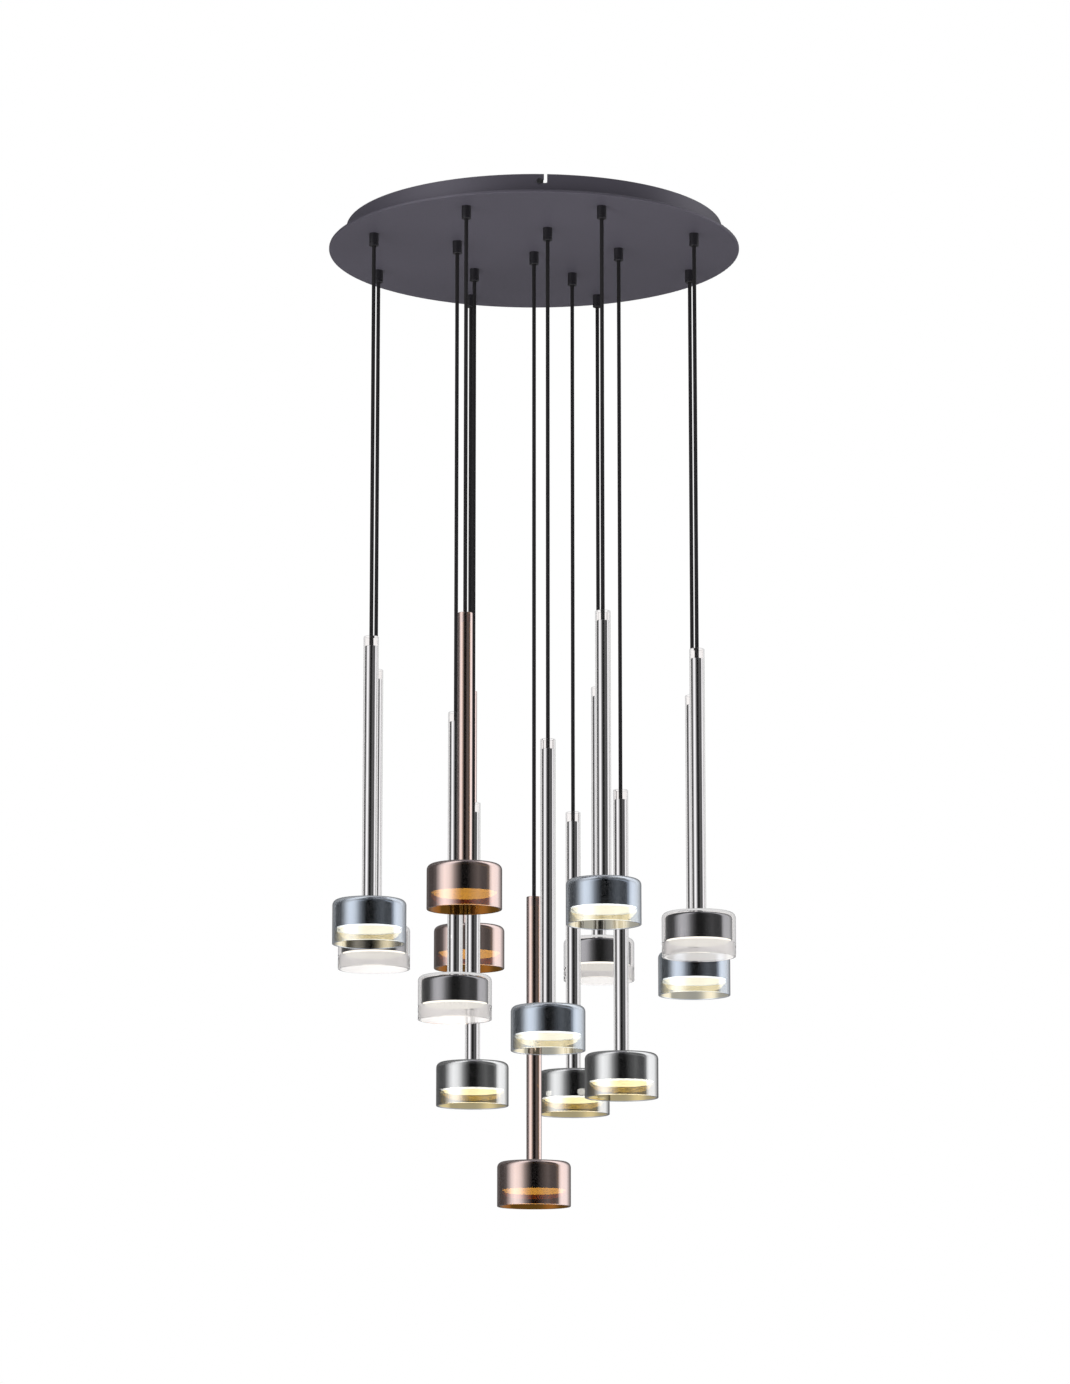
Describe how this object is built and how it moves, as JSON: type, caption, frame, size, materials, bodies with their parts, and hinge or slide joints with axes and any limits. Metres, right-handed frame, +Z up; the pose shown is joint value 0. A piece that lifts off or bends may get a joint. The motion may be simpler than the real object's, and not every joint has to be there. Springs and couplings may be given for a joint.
{
  "type": "cluster pendant",
  "caption": "Ceiling cluster pendant: a low round canopy carries many cords at staggered drops, each with a slim glass sleeve and a short glass shade over a round LED light.",
  "frame": {"origin": "centre of the ceiling plane, on the upper face of the ceiling bracket at the centre of its screw holes", "axes": "+Z up towards the ceiling, -Y the front, +X to the right seen from the front"},
  "size_m": [0.5999, 0.6, 1.427],
  "materials": {
    "canopy_paint": "satin anthracite paint",
    "zinc_steel": "zinc plated",
    "brass": "plain",
    "gland_black": "fine satin black",
    "cord_black": "round black sheath",
    "connector_grey": "moulded",
    "driver_white": "moulded",
    "terminal_ivory": "moulded",
    "glass_clear": "clear",
    "glass_blue": "blue chrome, amber seen through",
    "glass_smoke": "smoke chrome",
    "glass_copper": "copper mirror",
    "lamp_chrome": "polished"
  },
  "bodies": {
    "canopy": {"bracket_arms": "zinc_steel", "bracket_studs": "zinc_steel", "canopy_hoop": "canopy_paint", "canopy_plate": "canopy_paint", "ceiling_bracket": "zinc_steel", "cord_glands": "gland_black", "cord_tails": "cord_black", "driver_screws": "zinc_steel", "earth_nut": "brass", "earth_stud": "brass", "flange_screws": "zinc_steel", "gland_grub_screws": "zinc_steel", "gland_locknuts": "zinc_steel", "lead_connectors": "connector_grey", "led_driver_1": "driver_white", "led_driver_2": "driver_white", "terminal_block": "terminal_ivory", "terminal_screws": "zinc_steel"},
    "pendant_01": {"cord_01": "cord_black", "glass_01": "glass_copper", "lamp_01": "lamp_chrome"},
    "pendant_02": {"cord_02": "cord_black", "glass_02": "glass_blue", "lamp_02": "lamp_chrome"},
    "pendant_03": {"cord_03": "cord_black", "glass_03": "glass_smoke", "lamp_03": "lamp_chrome"},
    "pendant_04": {"cord_04": "cord_black", "glass_04": "glass_smoke", "lamp_04": "lamp_chrome"},
    "pendant_05": {"cord_05": "cord_black", "glass_05": "glass_smoke", "lamp_05": "lamp_chrome"},
    "pendant_06": {"cord_06": "cord_black", "glass_06": "glass_clear", "lamp_06": "lamp_chrome"},
    "pendant_07": {"cord_07": "cord_black", "glass_07": "glass_blue", "lamp_07": "lamp_chrome"},
    "pendant_08": {"cord_08": "cord_black", "glass_08": "glass_clear", "lamp_08": "lamp_chrome"},
    "pendant_09": {"cord_09": "cord_black", "glass_09": "glass_copper", "lamp_09": "lamp_chrome"},
    "pendant_10": {"cord_10": "cord_black", "glass_10": "glass_clear", "lamp_10": "lamp_chrome"},
    "pendant_11": {"cord_11": "cord_black", "glass_11": "glass_blue", "lamp_11": "lamp_chrome"},
    "pendant_12": {"cord_12": "cord_black", "glass_12": "glass_copper", "lamp_12": "lamp_chrome"},
    "pendant_13": {"cord_13": "cord_black", "glass_13": "glass_blue", "lamp_13": "lamp_chrome"},
    "pendant_14": {"cord_14": "cord_black", "glass_14": "glass_clear", "lamp_14": "lamp_chrome"}
  },
  "joints": [
    {"name": "swing_01", "type": "hinge", "parent": "canopy", "child": "pendant_01", "pos_m": [0, 0, -0.051], "axis": [0, -1, 0], "range_deg": [-1.5, 2]},
    {"name": "swing_02", "type": "hinge", "parent": "canopy", "child": "pendant_02", "pos_m": [0.01955, -0.12346, -0.051], "axis": [-0.9877, -0.1564, 0], "range_deg": [-1.5, 2.5]},
    {"name": "swing_03", "type": "hinge", "parent": "canopy", "child": "pendant_03", "pos_m": [0.12346, -0.01955, -0.051], "axis": [-0.1564, -0.9877, 0], "range_deg": [-1.5, 2.5]},
    {"name": "swing_04", "type": "hinge", "parent": "canopy", "child": "pendant_04", "pos_m": [0.05675, 0.11138, -0.051], "axis": [0.891, -0.454, 0], "range_deg": [-1.5, 2.5]},
    {"name": "swing_05", "type": "hinge", "parent": "canopy", "child": "pendant_05", "pos_m": [-0.08839, 0.08839, -0.051], "axis": [0.7071, 0.7071, 0], "range_deg": [-1.5, 2.5]},
    {"name": "swing_06", "type": "hinge", "parent": "canopy", "child": "pendant_06", "pos_m": [-0.11138, -0.05675, -0.051], "axis": [-0.454, 0.891, 0], "range_deg": [-1.5, 2.5]},
    {"name": "swing_07", "type": "hinge", "parent": "canopy", "child": "pendant_07", "pos_m": [0.23097, 0.09567, -0.051], "axis": [0.3827, -0.9239, 0], "range_deg": [-2, 10]},
    {"name": "swing_08", "type": "hinge", "parent": "canopy", "child": "pendant_08", "pos_m": [0.09567, 0.23097, -0.051], "axis": [0.9239, -0.3827, 0], "range_deg": [-2, 10]},
    {"name": "swing_09", "type": "hinge", "parent": "canopy", "child": "pendant_09", "pos_m": [-0.09567, 0.23097, -0.051], "axis": [0.9239, 0.3827, 0], "range_deg": [-2, 10]},
    {"name": "swing_10", "type": "hinge", "parent": "canopy", "child": "pendant_10", "pos_m": [-0.23097, 0.09567, -0.051], "axis": [0.3827, 0.9239, 0], "range_deg": [-2, 10]},
    {"name": "swing_11", "type": "hinge", "parent": "canopy", "child": "pendant_11", "pos_m": [-0.23097, -0.09567, -0.051], "axis": [-0.3827, 0.9239, 0], "range_deg": [-2, 10]},
    {"name": "swing_12", "type": "hinge", "parent": "canopy", "child": "pendant_12", "pos_m": [-0.09567, -0.23097, -0.051], "axis": [-0.9239, 0.3827, 0], "range_deg": [-2, 10]},
    {"name": "swing_13", "type": "hinge", "parent": "canopy", "child": "pendant_13", "pos_m": [0.09567, -0.23097, -0.051], "axis": [-0.9239, -0.3827, 0], "range_deg": [-2, 10]},
    {"name": "swing_14", "type": "hinge", "parent": "canopy", "child": "pendant_14", "pos_m": [0.23097, -0.09567, -0.051], "axis": [-0.3827, -0.9239, 0], "range_deg": [-2, 10]}
  ]
}
